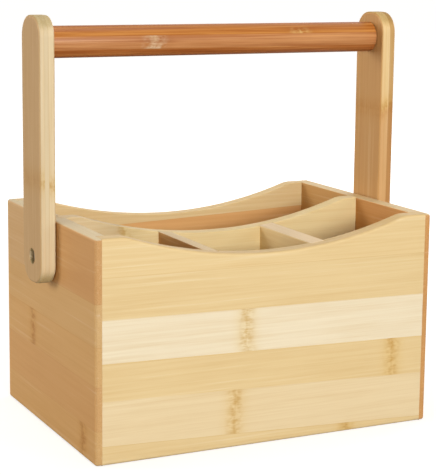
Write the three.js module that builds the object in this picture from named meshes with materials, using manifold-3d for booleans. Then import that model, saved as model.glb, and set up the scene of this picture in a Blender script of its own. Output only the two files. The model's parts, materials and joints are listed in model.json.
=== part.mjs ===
// Bamboo utensil holder in millimetres, +Z up, standing on z = 0 with the origin under its middle.
// A rabbeted box with a dipped rim holds one long back compartment and three square front ones.
// Its carrying handle swings front to back on two shoulder screws in the end panels.
import * as THREE from 'three';
import { mergeVertices } from 'three/addons/utils/BufferGeometryUtils.js';
import Module from 'manifold-3d';

// Box, outside
const boxWidth = 250;
const boxDepth = 174;
const boxHeight = 148;
const wallThickness = 11;
const edgeRadius = 2;
const cornerEase = 0.5;

// Rim: flat ends, a round shoulder, then one long dip
const rimFlatLength = 17;
const rimShoulderRadius = 25;
const rimDipDepth = 17.5;

// Joints between the boards
const lipThickness = 4.5;
const housingDepth = 3;

// Base and dividers
const baseThickness = 6;
const baseRise = 5;
const longDividerThickness = 11;
const crossDividerThickness = 11;

// Handle
const armWidth = 36;
const armThickness = 11;
const armEndRadius = 14.5;
const armEdgeRadius = 1.8;
const armOverhang = 18;
const handleReach = 143.5;
const rodDiameter = 21.5;
const rodEdgeChamfer = 0.5;
const tenonDiameter = 14;
const tenonLength = 7;

// Pivots, a set distance below the rim
const pivotDrop = 25.5;
const counterboreDiameter = 10.4;
const counterboreDepth = 5.2;
const screwHeadDiameter = 9.2;
const screwHeadThickness = 2.2;
const screwHeadChamfer = 0.6;
const screwSocketWidth = 4.5;
const screwSocketDepth = 1.6;
const screwShoulderDiameter = 7;
const screwThreadDiameter = 4.5;
const screwLength = 24;

// Clearances
const armRunningGap = 0.4;
const fitGap = 0.3;
const sawOvercut = 1;

// Facets
const rimDipSteps = 24;
const rimShoulderSteps = 4;
const edgeSteps = 3;
const armEndSteps = 8;
const roundSides = 40;
const screwSides = 24;

// Places worked out from the sizes above
const halfWidth = boxWidth / 2;
const halfDepth = boxDepth / 2;
const innerHalfWidth = halfWidth - wallThickness;
const innerHalfDepth = halfDepth - wallThickness;
const baseTop = baseRise + baseThickness;
const longDividerFace = longDividerThickness / 2;
const compartmentWidth = (2 * innerHalfWidth - 2 * crossDividerThickness) / 3;
const crossDividerOffset = (compartmentWidth + crossDividerThickness) / 2;
const pivotHeight = boxHeight - pivotDrop;
const armInnerFace = halfWidth + armRunningGap;
const armCentre = armInnerFace + armThickness / 2;
const screwSeat = armInnerFace + armThickness - counterboreDepth + fitGap;
const screwTip = screwSeat - screwLength;

const quarter = Math.PI / 2;

const wasm = await Module();
wasm.setup();

/** Closed geometry to a solid that can be cut and joined. */
function toSolid(geometry) {
  geometry.deleteAttribute('normal');
  geometry.deleteAttribute('uv');
  const merged = mergeVertices(geometry);
  return new wasm.Manifold(new wasm.Mesh({
    numProp: 3,
    vertProperties: merged.attributes.position.array,
    triVerts: new Uint32Array(merged.index.array),
  }));
}

/** Solid back to a geometry with flat faces. */
function toGeometry(solid) {
  const mesh = solid.getMesh();
  const geometry = new THREE.BufferGeometry();
  geometry.setAttribute('position', new THREE.BufferAttribute(mesh.vertProperties, 3));
  geometry.setIndex(new THREE.BufferAttribute(mesh.triVerts, 1));
  geometry.computeVertexNormals();
  return geometry;
}

/** Block between two opposite faces on each axis. */
function block([x0, x1], [y0, y1], [z0, z1]) {
  const geometry = new THREE.BoxGeometry(x1 - x0, y1 - y0, z1 - z0);
  return toSolid(geometry.translate((x0 + x1) / 2, (y0 + y1) / 2, (z0 + z1) / 2));
}

/** Interval between a and b in rising order, for pieces mirrored to the left or right side. */
const span = (a, b) => (a < b ? [a, b] : [b, a]);

/** Cylinder along X between two faces, centred on y = 0 at the given height. */
function boreAlongX(diameter, [x0, x1], height, sides = roundSides) {
  const geometry = new THREE.CylinderGeometry(diameter / 2, diameter / 2, x1 - x0, sides);
  return toSolid(geometry.rotateZ(Math.PI / 2).translate((x0 + x1) / 2, 0, height));
}

/** Turned profile of [radius, place along the axis] pairs, reversed end for end. */
const mirrored = (profile) => profile.map(([radius, along]) => [radius, -along]).reverse();

/** Half outline revolved about its own axis, which is then laid along X. */
function turned(profile, sides) {
  const points = profile.map(([radius, along]) => new THREE.Vector2(radius, along));
  return toSolid(new THREE.LatheGeometry(points, sides).rotateZ(-Math.PI / 2));
}

// Exact quarter turns: an outline drawn in XY is stood up, facing the front or the side.
const standFacingFront = new THREE.Matrix4().makeBasis(
  new THREE.Vector3(1, 0, 0), new THREE.Vector3(0, 0, 1), new THREE.Vector3(0, -1, 0));
const standFacingSide = new THREE.Matrix4().makeBasis(
  new THREE.Vector3(0, 1, 0), new THREE.Vector3(0, 0, 1), new THREE.Vector3(1, 0, 0));

/** Points along a circular arc from one angle to another, both ends included. */
function arc(centreX, centreY, radius, from, to, steps) {
  const points = [];
  for (let i = 0; i <= steps; i += 1) {
    const angle = from + ((to - from) * i) / steps;
    points.push(new THREE.Vector2(centreX + radius * Math.cos(angle), centreY + radius * Math.sin(angle)));
  }
  return points;
}

/** Front view of the box: upright ends and the dipped rim, all tangent arcs. */
function boxOutline() {
  const run = halfWidth - rimFlatLength;
  const radiusSum = (run * run + rimDipDepth * rimDipDepth) / (2 * rimDipDepth);
  const dipRadius = radiusSum - rimShoulderRadius;
  const dipCentre = boxHeight - rimDipDepth + dipRadius;
  const shoulderCentre = boxHeight - rimShoulderRadius;
  const turn = Math.asin(run / radiusSum);
  const cornerRadius = edgeRadius + cornerEase;
  const right = halfWidth - cornerRadius;
  const top = boxHeight - cornerRadius;
  return new THREE.Shape([
    ...arc(right, cornerRadius, cornerRadius, -quarter, 0, edgeSteps),
    ...arc(right, top, cornerRadius, 0, quarter, edgeSteps),
    ...arc(run, shoulderCentre, rimShoulderRadius, quarter, quarter + turn, rimShoulderSteps),
    ...arc(0, dipCentre, dipRadius, turn - quarter, -turn - quarter, rimDipSteps).slice(1, -1),
    ...arc(-run, shoulderCentre, rimShoulderRadius, quarter - turn, quarter, rimShoulderSteps),
    ...arc(-right, top, cornerRadius, quarter, 2 * quarter, edgeSteps),
    ...arc(-right, cornerRadius, cornerRadius, 2 * quarter, 3 * quarter, edgeSteps),
  ]);
}

/** The whole box as one block with rounded outer edges: every board is sawn out of this form. */
function boxForm() {
  const geometry = new THREE.ExtrudeGeometry(boxOutline(), {
    depth: boxDepth - 2 * edgeRadius,
    bevelEnabled: true,
    bevelThickness: edgeRadius,
    bevelSize: edgeRadius,
    bevelOffset: -edgeRadius,
    bevelSegments: edgeSteps,
  });
  geometry.applyMatrix4(standFacingFront);
  return toSolid(geometry.translate(0, halfDepth - edgeRadius, 0));
}

const form = boxForm();

/** Space of the base panel, which is also the groove that it leaves in the four walls. */
function baseSpace() {
  const reachX = innerHalfWidth + housingDepth;
  const reachY = innerHalfDepth + housingDepth;
  return block([-reachX, reachX], [-reachY, reachY], [baseRise, baseTop]);
}

/** Blank of the long divider, with its ends let into the end panels. */
function longDividerSpace() {
  const reach = innerHalfWidth + housingDepth;
  return block([-reach, reach], [-longDividerFace, longDividerFace], [baseTop, boxHeight + sawOvercut]);
}

/** Blank of a cross divider, let into the front panel and the long divider. */
function crossDividerSpace(side) {
  const centre = side * crossDividerOffset;
  const x = [centre - crossDividerThickness / 2, centre + crossDividerThickness / 2];
  const y = [-innerHalfDepth - housingDepth, -longDividerFace + housingDepth];
  return block(x, y, [baseTop, boxHeight + sawOvercut]);
}

/** Pilot hole for the threaded end of a pivot screw, blind in the end grain of the long divider. */
function pilotHole(side) {
  const bore = screwThreadDiameter + 2 * fitGap;
  const ends = span(side * (screwTip - fitGap), side * (halfWidth + sawOvercut));
  return boreAlongX(bore, ends, pivotHeight, screwSides);
}

/** Front or back panel: facing is -1 at the front and 1 at the back. */
function longPanel(facing) {
  const reach = halfWidth - lipThickness;
  const y = span(facing * innerHalfDepth, facing * (halfDepth + sawOvercut));
  const blank = block([-reach, reach], y, [-sawOvercut, boxHeight + sawOvercut]);
  let panel = blank.intersect(form).subtract(baseSpace());
  if (facing < 0) {
    for (const side of [-1, 1]) {
      panel = panel.subtract(crossDividerSpace(side));
    }
  }
  return toGeometry(panel);
}

/** Left (-1) or right (1) end panel, with rabbets for the long panels and a housing for the divider. */
function endPanel(side) {
  const x = span(side * innerHalfWidth, side * (halfWidth + sawOvercut));
  const rabbetX = span(side * (innerHalfWidth - sawOvercut), side * (halfWidth - lipThickness));
  const z = [-sawOvercut, boxHeight + sawOvercut];
  let panel = block(x, [-halfDepth - sawOvercut, halfDepth + sawOvercut], z).intersect(form);
  for (const facing of [-1, 1]) {
    const y = span(facing * innerHalfDepth, facing * (halfDepth + sawOvercut));
    panel = panel.subtract(block(rabbetX, y, [-2 * sawOvercut, boxHeight + 2 * sawOvercut]));
  }
  panel = panel.subtract(baseSpace()).subtract(longDividerSpace()).subtract(pilotHole(side));
  return toGeometry(panel);
}

/** Long divider between the back compartment and the three front ones. */
function longDivider() {
  let divider = longDividerSpace().intersect(form);
  for (const side of [-1, 1]) {
    divider = divider.subtract(crossDividerSpace(side)).subtract(pilotHole(side));
  }
  return toGeometry(divider);
}

/** Cross divider, its top sawn to the dip of the rim. */
function crossDivider(side) {
  return toGeometry(crossDividerSpace(side).intersect(form));
}

/** Upright with rounded ends and eased edges, standing on the pivot's axis at z = 0. */
function armForm() {
  const half = armWidth / 2;
  const corner = half - armEndRadius;
  const bottom = -armOverhang + armEndRadius;
  const top = handleReach + armOverhang - armEndRadius;
  const outline = new THREE.Shape([
    ...arc(corner, bottom, armEndRadius, -quarter, 0, armEndSteps),
    ...arc(corner, top, armEndRadius, 0, quarter, armEndSteps),
    ...arc(-corner, top, armEndRadius, quarter, 2 * quarter, armEndSteps),
    ...arc(-corner, bottom, armEndRadius, 2 * quarter, 3 * quarter, armEndSteps),
  ]);
  const geometry = new THREE.ExtrudeGeometry(outline, {
    depth: armThickness - 2 * armEdgeRadius,
    bevelEnabled: true,
    bevelThickness: armEdgeRadius,
    bevelSize: armEdgeRadius,
    bevelOffset: -armEdgeRadius,
    bevelSegments: edgeSteps,
  });
  geometry.applyMatrix4(standFacingSide);
  return toSolid(geometry.translate(armEdgeRadius - armThickness / 2, 0, 0));
}

/** Arm with its screw hole, its counterbore on the outer face and the blind hole of the rod's tenon. */
function arm(side) {
  const inner = -side * armThickness / 2;
  const outer = -inner;
  const over = side * sawOvercut;
  const screwHole = screwShoulderDiameter + 2 * fitGap;
  const tenonHole = tenonDiameter + 2 * fitGap;
  const seat = outer - side * counterboreDepth;
  const tenonEnd = inner + side * (tenonLength + fitGap);
  const upright = armForm()
    .subtract(boreAlongX(screwHole, span(inner - over, outer + over), 0))
    .subtract(boreAlongX(counterboreDiameter, span(seat, outer + over), 0))
    .subtract(boreAlongX(tenonHole, span(inner - over, tenonEnd), handleReach));
  return toGeometry(upright);
}

/** Rod between the arms, with a chamfered shoulder and a turned tenon at each end. */
function handleRod() {
  const shoulder = armInnerFace - fitGap;
  const end = armInnerFace + tenonLength;
  const radius = rodDiameter / 2;
  const tenon = tenonDiameter / 2;
  const half = [
    [radius, shoulder - rodEdgeChamfer],
    [radius - rodEdgeChamfer, shoulder],
    [tenon, shoulder],
    [tenon, end - rodEdgeChamfer],
    [tenon - rodEdgeChamfer, end],
    [0, end],
  ];
  return toGeometry(turned([...mirrored(half), ...half], roundSides));
}

/** Shoulder screw along X with its tip at x = 0 and a hexagon socket in the face of its head. */
function pivotScrew(side) {
  const head = screwHeadDiameter / 2;
  const shoulder = screwShoulderDiameter / 2;
  const thread = screwThreadDiameter / 2;
  const face = screwLength + screwHeadThickness;
  const shoulderStart = screwLength - (armThickness - counterboreDepth + armRunningGap);
  const profile = [
    [0, 0],
    [thread / 2, 0],
    [thread, thread],
    [thread, shoulderStart],
    [shoulder, shoulderStart],
    [shoulder, screwLength],
    [head, screwLength],
    [head, face - screwHeadChamfer],
    [head - screwHeadChamfer, face],
    [0, face],
  ];
  const cornerToCorner = screwSocketWidth / Math.cos(Math.PI / 6);
  const socketEnds = span(side * (face - screwSocketDepth), side * (face + sawOvercut));
  const blank = turned(side > 0 ? profile : mirrored(profile), screwSides);
  return toGeometry(blank.subtract(boreAlongX(cornerToCorner, socketEnds, 0, 6)));
}

const bamboo = { color: 0xe2c891, roughness: 0.55, metalness: 0 };
const sideBamboo = { color: 0xd8b880, roughness: 0.55, metalness: 0 };
const armBamboo = { color: 0xd9bd8a, roughness: 0.5, metalness: 0 };
const darkBamboo = { color: 0xb9733f, roughness: 0.4, metalness: 0 };
const steel = { color: 0x8d8a86, roughness: 0.35, metalness: 1 };

/** Named mesh with a finish of its own at a place in its group. */
function piece(name, geometry, finish, [x, y, z] = [0, 0, 0]) {
  const mesh = new THREE.Mesh(geometry, new THREE.MeshStandardMaterial(finish));
  mesh.name = name;
  mesh.position.set(x, y, z);
  return mesh;
}

const box = new THREE.Group();
box.add(piece('front_panel', longPanel(-1), bamboo));
box.add(piece('back_panel', longPanel(1), bamboo));
box.add(piece('left_end_panel', endPanel(-1), sideBamboo));
box.add(piece('right_end_panel', endPanel(1), sideBamboo));
box.add(piece('base_panel', toGeometry(baseSpace()), bamboo));
box.add(piece('long_divider', longDivider(), bamboo));
box.add(piece('left_cross_divider', crossDivider(-1), bamboo));
box.add(piece('right_cross_divider', crossDivider(1), bamboo));

box.add(piece('left_pivot_screw', pivotScrew(-1), steel, [-screwTip, 0, pivotHeight]));
box.add(piece('right_pivot_screw', pivotScrew(1), steel, [screwTip, 0, pivotHeight]));

const handle = new THREE.Group();
handle.position.z = pivotHeight;
handle.add(piece('left_arm', arm(-1), armBamboo, [-armCentre, 0, 0]));
handle.add(piece('right_arm', arm(1), armBamboo, [armCentre, 0, 0]));
handle.add(piece('handle_rod', handleRod(), darkBamboo, [0, 0, handleReach]));

const utensilHolder = new THREE.Group();
utensilHolder.add(box, handle);

export default utensilHolder;
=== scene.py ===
"""Bamboo utensil holder: its boards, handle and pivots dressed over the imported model, and its studio.

Metres, +Z up, -Y to the front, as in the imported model.
"""
import json
import logging
import math
import random
from collections.abc import Callable, Iterable, Sequence
from dataclasses import dataclass
from enum import Enum

import bmesh
import bpy
from mathutils import Matrix, Vector


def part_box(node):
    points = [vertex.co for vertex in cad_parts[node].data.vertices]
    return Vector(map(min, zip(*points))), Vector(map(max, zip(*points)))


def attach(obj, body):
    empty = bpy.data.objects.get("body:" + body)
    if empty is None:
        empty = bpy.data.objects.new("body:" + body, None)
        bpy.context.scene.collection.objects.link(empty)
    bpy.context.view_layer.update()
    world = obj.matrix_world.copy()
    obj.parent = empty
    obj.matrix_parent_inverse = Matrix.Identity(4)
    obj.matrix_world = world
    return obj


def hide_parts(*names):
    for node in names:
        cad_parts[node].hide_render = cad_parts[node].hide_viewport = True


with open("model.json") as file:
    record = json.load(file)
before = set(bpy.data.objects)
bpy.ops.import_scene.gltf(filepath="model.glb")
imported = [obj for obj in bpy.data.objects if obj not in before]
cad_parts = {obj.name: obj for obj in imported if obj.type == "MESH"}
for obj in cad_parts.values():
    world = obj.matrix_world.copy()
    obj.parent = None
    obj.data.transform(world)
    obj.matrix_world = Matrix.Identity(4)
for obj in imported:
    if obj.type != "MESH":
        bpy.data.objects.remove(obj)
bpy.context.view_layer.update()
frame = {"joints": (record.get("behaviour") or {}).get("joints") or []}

MM = 0.001
# Places nearer than this are the same place.
TOUCH = 0.01 * MM
# Edges that turn by more than this stay sharp.
SHARP = math.radians(30)
# Shares of a face's normal along an axis from which it begins and fully comes to count as square to it.
SQUARE = (0.4, 0.9)
# The same for the ends of the fibres.
END_SQUARE = (0.25, 0.70)
# Mean of a noise.
MEAN = 0.5

log = logging.getLogger("utensil_holder")

Colour = tuple[float, float, float]
Fineness = tuple[float, float]


class Axis(Enum):
    """The three directions of the frame."""

    X = 0
    Y = 1
    Z = 2

    @property
    def vector(self) -> Vector:
        """Unit vector along the axis."""
        return Vector((self is Axis.X, self is Axis.Y, self is Axis.Z))


class Named(Enum):
    """Parts of the holder whose names the pieces' names hold."""

    @property
    def word(self) -> str:
        """The name in small letters."""
        return self.name.lower()


class Side(Named):
    """Left and right ends of the holder, seen from the front."""

    LEFT = -1
    RIGHT = 1


class Wall(Named):
    """The two long walls of the box."""

    FRONT = -1
    BACK = 1


class Body(Enum):
    """Bodies of the model."""

    BOX = "box"
    HANDLE = "handle"


class Slot(Enum):
    """Material slots of the record."""

    BAMBOO = "bamboo"
    END_BAMBOO = "end_bamboo"
    ARM_BAMBOO = "arm_bamboo"
    DARK_BAMBOO = "dark_bamboo"
    SCREW_STEEL = "screw_steel"


class Blend(Enum):
    """Ways of laying one colour over another."""

    COVER = "MIX"
    TINT = "MULTIPLY"


class Value:
    """A number that varies over a surface. A sum written with it adds its Math nodes."""

    def __init__(self, graph: "Graph", socket: bpy.types.NodeSocket) -> None:
        """Wrap a socket of the graph."""
        self.graph = graph
        self.socket = socket

    def __add__(self, other: "Value | float") -> "Value":
        """Sum."""
        return self.graph.math("ADD", self, other)

    def __radd__(self, other: float) -> "Value":
        """Sum with a plain number first."""
        return self.graph.math("ADD", other, self)

    def __sub__(self, other: "Value | float") -> "Value":
        """Difference."""
        return self.graph.math("SUBTRACT", self, other)

    def __rsub__(self, other: float) -> "Value":
        """Difference from a plain number."""
        return self.graph.math("SUBTRACT", other, self)

    def __mul__(self, other: "Value | float") -> "Value":
        """Product."""
        return self.graph.math("MULTIPLY", self, other)

    def __rmul__(self, other: float) -> "Value":
        """Product with a plain number first."""
        return self.graph.math("MULTIPLY", other, self)

    def __truediv__(self, other: "Value | float") -> "Value":
        """Quotient."""
        return self.graph.math("DIVIDE", self, other)

    def __rtruediv__(self, other: float) -> "Value":
        """Quotient of a plain number."""
        return self.graph.math("DIVIDE", other, self)

    def __abs__(self) -> "Value":
        """Size without its sign."""
        return self.graph.math("ABSOLUTE", self)

    def ramped(self, low: float, high: float) -> "Value":
        """Go smoothly from 0 to 1 while the number goes from low to high.

        Args:
            low: number that gives 0.
            high: number that gives 1; it may be the smaller of the two.

        Returns:
            The smooth step, between 0 and 1.
        """
        settings = {"interpolation_type": "SMOOTHSTEP", "clamp": True}
        numbers = {"Value": self, "From Min": low, "From Max": high, "To Min": 0.0, "To Max": 1.0}
        return self.graph.value(self.graph.node("ShaderNodeMapRange", settings, numbers), "Result")

    def within(self, width: float) -> "Value":
        """1 where the number is 0, fading to 0 at plus or minus the width."""
        return abs(self).ramped(width, 0.0)


class Graph:
    """Node tree of one material, with the few ways in which its nodes are added."""

    def __init__(self, tree: bpy.types.NodeTree) -> None:
        """Start an empty tree."""
        self.tree = tree
        tree.nodes.clear()

    def node(self, kind: str, settings: dict | None = None, inputs: dict | None = None) -> bpy.types.Node:
        """Add a node.

        Args:
            kind: type name of the node.
            settings: its own properties, which are set first; "stops" are a ramp's places and colours.
            inputs: values or links of its sockets, by name or number.

        Returns:
            The node.
        """
        made = self.tree.nodes.new(kind)
        for key, value in (settings or {}).items():
            if key == "stops":
                self._set_stops(made.color_ramp, value)
            else:
                setattr(made, key, value)
        for key, value in (inputs or {}).items():
            source = value.socket if isinstance(value, Value) else value
            if isinstance(source, bpy.types.NodeSocket):
                self.tree.links.new(source, made.inputs[key])
            else:
                made.inputs[key].default_value = source
        return made

    @staticmethod
    def _set_stops(ramp: bpy.types.ColorRamp, stops: Sequence[tuple[float, Colour]]) -> None:
        """Write a ramp of flat steps.

        Args:
            ramp: the ramp of a new Color Ramp node.
            stops: place and colour where each step begins.
        """
        ramp.interpolation = "CONSTANT"
        while len(ramp.elements) < len(stops):
            ramp.elements.new(1.0)
        for element, (place, colour) in zip(ramp.elements, stops):
            element.position = place
            element.color = (*colour, 1.0)

    def value(self, node: bpy.types.Node, name: str | int = 0) -> Value:
        """Output of a node as a number."""
        return Value(self, node.outputs[name])

    def math(self, operation: str, *terms: Value | float) -> Value:
        """Result of a Math node on numbers."""
        return self.value(self.node("ShaderNodeMath", {"operation": operation}, dict(enumerate(terms))))

    def split(self, vector: bpy.types.NodeSocket) -> list[Value]:
        """The three parts of a vector."""
        parts = self.node("ShaderNodeSeparateXYZ", inputs={"Vector": vector})
        return [self.value(parts, name) for name in "XYZ"]

    def place(self) -> list[Value]:
        """Object coordinates, which are the frame's coordinates at rest."""
        return self.split(self.node("ShaderNodeTexCoord").outputs["Object"])

    def facing(self) -> list[Value]:
        """Parts of the surface's own normal."""
        return self.split(self.node("ShaderNodeTexCoord").outputs["Normal"])

    def noise(self, parts: Sequence[Value | float], detail: float = 2.0, roughness: float = 0.55) -> Value:
        """Noise from 0 to 1 with a feature size of about 1.

        Args:
            parts: three coordinates, already scaled.
            detail: number of finer layers.
            roughness: strength of the finer layers.

        Returns:
            The noise.
        """
        vector = self.node("ShaderNodeCombineXYZ", inputs=dict(zip("XYZ", parts)))
        numbers = {"Vector": vector.outputs[0], "Scale": 1.0, "Detail": detail, "Roughness": roughness}
        return self.value(self.node("ShaderNodeTexNoise", inputs=numbers))

    def steps(self, fraction: Value, stops: Sequence[tuple[float, Colour]]) -> bpy.types.NodeSocket:
        """Colour in flat steps along a fraction."""
        return self.node("ShaderNodeValToRGB", {"stops": stops}, {"Fac": fraction}).outputs["Color"]

    def mix(self, amount: Value, first: bpy.types.NodeSocket | Colour, second: bpy.types.NodeSocket | Colour,
            blend: Blend = Blend.COVER) -> bpy.types.NodeSocket:
        """Blend two colours.

        Args:
            amount: share of the second.
            first: colour where the amount is 0.
            second: colour where the amount is 1.
            blend: how the second is laid over the first.

        Returns:
            The colour.
        """
        settings = {"data_type": "RGBA", "blend_type": blend.value, "clamp_factor": True}
        made = self.node("ShaderNodeMix", settings)
        # On a Mix node for colours, socket 0 is the share, and 6 and 7 are the colours.
        for number, source in ((0, amount.socket), (6, first), (7, second)):
            if isinstance(source, bpy.types.NodeSocket):
                self.tree.links.new(source, made.inputs[number])
            else:
                made.inputs[number].default_value = (*source, 1.0)
        return made.outputs[2]

    def tint(self, amount: Value, colour: bpy.types.NodeSocket, tone: Colour) -> bpy.types.NodeSocket:
        """Multiply a colour by a tone where the amount is 1."""
        return self.mix(amount, colour, tone, Blend.TINT)

    def blend(self, share: Value, first: bpy.types.Node, second: bpy.types.Node) -> bpy.types.Node:
        """Mix two shaders by the second one's share."""
        inputs = {0: share, 1: first.outputs[0], 2: second.outputs[0]}
        return self.node("ShaderNodeMixShader", inputs=inputs)

    def bump(self, height: Value, distance: float, strength: float) -> bpy.types.NodeSocket:
        """Normal of a surface with a fine relief, where a height of 1 rises by the distance."""
        numbers = {"Height": height, "Distance": distance, "Strength": strength}
        return self.node("ShaderNodeBump", inputs=numbers).outputs["Normal"]

    def surface(self, inputs: dict) -> None:
        """Finish the tree with one Principled shader."""
        shader = self.node("ShaderNodeBsdfPrincipled", inputs=inputs)
        self.node("ShaderNodeOutputMaterial", inputs={"Surface": shader.outputs[0]})


def new_material(name: str) -> tuple[bpy.types.Material, Graph]:
    """Start an empty material.

    Args:
        name: name of the material.

    Returns:
        The material and its graph.
    """
    material = bpy.data.materials.new(name)
    material.use_nodes = True
    return material, Graph(material.node_tree)


def scaled(colour: Colour, by: float) -> Colour:
    """Colour made lighter or darker."""
    return tuple(part * by for part in colour)


def tinted(colour: Colour, tone: Colour) -> Colour:
    """Colour multiplied by a tone."""
    return tuple(part * by for part, by in zip(colour, tone))


WHITE: Colour = (1.0, 1.0, 1.0)
HONEY: Colour = (0.735, 0.575, 0.31)
PALE_HONEY: Colour = (0.765, 0.63, 0.395)
WARM_HONEY: Colour = (0.70, 0.54, 0.29)
# Partly painted shade: duller honey of the long divider near the left arm.
DULL_HONEY: Colour = (0.715, 0.58, 0.345)
# Partly painted light: brighter honey of the rest of the long divider's top strip.
GOLDEN: Colour = (0.80, 0.655, 0.355)
# Painted light: the brightened top strip of the right cross divider.
SUNNY: Colour = (0.88, 0.69, 0.36)
CREAM: Colour = (0.80, 0.715, 0.53)
BUFF: Colour = (0.76, 0.585, 0.355)
AMBER: Colour = (0.70, 0.49, 0.23)
TAN: Colour = (0.64, 0.375, 0.138)
ROSY: Colour = (0.625, 0.35, 0.128)
# Redder tone of the right end, partly its own and partly painted shade of its inner face.
RUSSET: Colour = (0.60, 0.295, 0.09)
# Partly painted shadow of the left arm on the left end's top strip.
DEEP_ROSY: Colour = (0.60, 0.32, 0.112)
PALE_ROSY: Colour = (0.635, 0.405, 0.185)
PALE_TAN: Colour = (0.64, 0.39, 0.152)
ORANGE: Colour = (0.68, 0.395, 0.16)
EDGE_PALE: Colour = (0.725, 0.605, 0.395)
DEEP_TAN: Colour = (0.475, 0.25, 0.088)
MID_TAN: Colour = (0.66, 0.405, 0.18)
NUT_BROWN: Colour = (0.565, 0.317, 0.107)
# Partly a painted highlight: the paler middle band of the rod.
CHESTNUT: Colour = (0.58, 0.275, 0.108)
COPPER: Colour = (0.53, 0.22, 0.05)
# Partly painted shade: the darker top band of the rod.
CARAMEL: Colour = (0.445, 0.168, 0.03)
# Partly painted shade: the dark bottom band of the rod.
BURNT: Colour = (0.44, 0.16, 0.042)
GREY_STEEL: Colour = (0.50, 0.48, 0.45)
DARK_STEEL: Colour = (0.36, 0.34, 0.31)

# Place in millimetres of a growth ring that lies past the end of any board.
NO_RING = 400


@dataclass(frozen=True)
class Strip:
    """One bamboo strip of a glued-up board.

    Attributes:
        low: its lower edge across the board, in metres.
        colour: its tone.
        ring: where its growth ring crosses it, along the grain, in metres.
        beyond: its tone beyond the ring, where that is another.
    """

    low: float
    colour: Colour
    ring: float
    beyond: Colour | None = None


def glued(*rows: tuple, start: float = 0.0) -> tuple[Strip, ...]:
    """Glue up strips.

    Args:
        rows: each strip's lower edge, tone and ring, and its tone beyond the ring where that is another,
            with the places in millimetres.
        start: place in metres from which the lower edges are counted.

    Returns:
        The strips from the lowest up.
    """
    return tuple(Strip(start + low * MM, tone, ring * MM, *beyond) for low, tone, ring, *beyond in rows)


def laminated(seed: int, low: float, high: float, width: float, reach: float,
              tones: Sequence[Colour]) -> tuple[Strip, ...]:
    """Strips for a board whose face the photograph hides.

    Args:
        seed: number that settles the draw.
        low: lower edge of the board across its strips.
        high: upper edge.
        width: usual width of a strip.
        reach: half the board's length along the grain.
        tones: tones that follow one another.

    Returns:
        The strips from the lower edge up.
    """
    draw = random.Random(seed)
    tone_spread, ring_spread, width_spread = (0.96, 1.04), (-0.8, 0.8), (0.85, 1.15)
    strips = []
    edge = low
    while edge < high:
        tone = scaled(tones[len(strips) % len(tones)], draw.uniform(*tone_spread))
        strips.append(Strip(edge, tone, draw.uniform(*ring_spread) * reach))
        edge += width * draw.uniform(*width_spread)
    return tuple(strips)


@dataclass(frozen=True)
class Wood:
    """Where a point of a board lies.

    Attributes:
        graph: the graph of the board's material.
        along: its place along the grain, in metres.
        across: its place across the strips.
        deep: its place through the board.
    """

    graph: Graph
    along: Value
    across: Value
    deep: Value

    def moved(self, by: Value) -> "Wood":
        """The same point, moved along the grain."""
        return Wood(self.graph, self.along + by, self.across, self.deep)

    def noise(self, fineness: Fineness, detail: float = 2.0, roughness: float = 0.55) -> Value:
        """Noise drawn out along the grain.

        Args:
            fineness: features in a metre along the grain, and across it.
            detail: number of finer layers.
            roughness: strength of the finer layers.

        Returns:
            The noise, from 0 to 1.
        """
        length, width = fineness
        parts = (self.along * length, self.across * width, self.deep * width)
        return self.graph.noise(parts, detail, roughness)


@dataclass(frozen=True)
class Ring:
    """Growth ring of a strip: a band of dark marks across the grain, in slightly darker wood.

    Attributes:
        tone: what the marks multiply the colour by.
        halo_tone: what the wood round the marks is multiplied by.
        reach: half the length of the marks along the grain.
        halo: length of the darker wood, as a multiple of the marks' length.
        line: half the thickness of the line in the middle of the band.
        wander: how far the band strays along the grain.
        stray: features in a metre of its straying.
        patches: fineness of the patches of marks.
        flecks: fineness of the flecks among them.
        patch_edge: noise at which a patch begins and is full.
        fleck_edge: the same for a fleck.
        patch_share: strength of the patches.
        fleck_share: strength of the flecks.
        line_share: strength of the line.
        halo_share: strength of the darker wood.
        on_flank: share of the marks that a board's edges lose.
    """

    tone: Colour = (0.80, 0.67, 0.46)
    halo_tone: Colour = (0.96, 0.90, 0.74)
    reach: float = 8.5 * MM
    halo: float = 1.6
    line: float = 1.3 * MM
    wander: float = 5.0 * MM
    stray: float = 110.0
    patches: Fineness = (190.0, 210.0)
    flecks: Fineness = (300.0, 900.0)
    patch_edge: tuple[float, float] = (0.36, 0.62)
    fleck_edge: tuple[float, float] = (0.46, 0.64)
    patch_share: float = 0.6
    fleck_share: float = 0.45
    line_share: float = 0.25
    halo_share: float = 0.75
    on_flank: float = 0.65

    def drawn(self, wood: Wood, colour: bpy.types.NodeSocket,
              flank: Value) -> tuple[bpy.types.NodeSocket, Value]:
        """Draw the ring on the wood.

        Args:
            wood: the point, its place along the grain counted from the ring.
            colour: colour of the plain wood.
            flank: how much of the surface faces across the strips.

        Returns:
            The marked colour, and the strength of the marks.
        """
        graph = wood.graph
        stray = graph.noise((wood.across * self.stray, wood.deep * self.stray, MEAN)) - MEAN
        wood = wood.moved(stray * self.wander)
        patches = wood.noise(self.patches, detail=1.0).ramped(*self.patch_edge)
        flecks = wood.noise(self.flecks).ramped(*self.fleck_edge)
        band = wood.along.within(self.reach) * (patches * self.patch_share + flecks * self.fleck_share)
        mark = graph.math("MINIMUM", band + wood.along.within(self.line) * self.line_share, 1.0)
        mark = mark * (1.0 - flank * self.on_flank)
        halo = wood.along.within(self.reach * self.halo)
        colour = graph.tint(halo * self.halo_share, colour, self.halo_tone)
        return graph.tint(mark, colour, self.tone), mark


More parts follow.
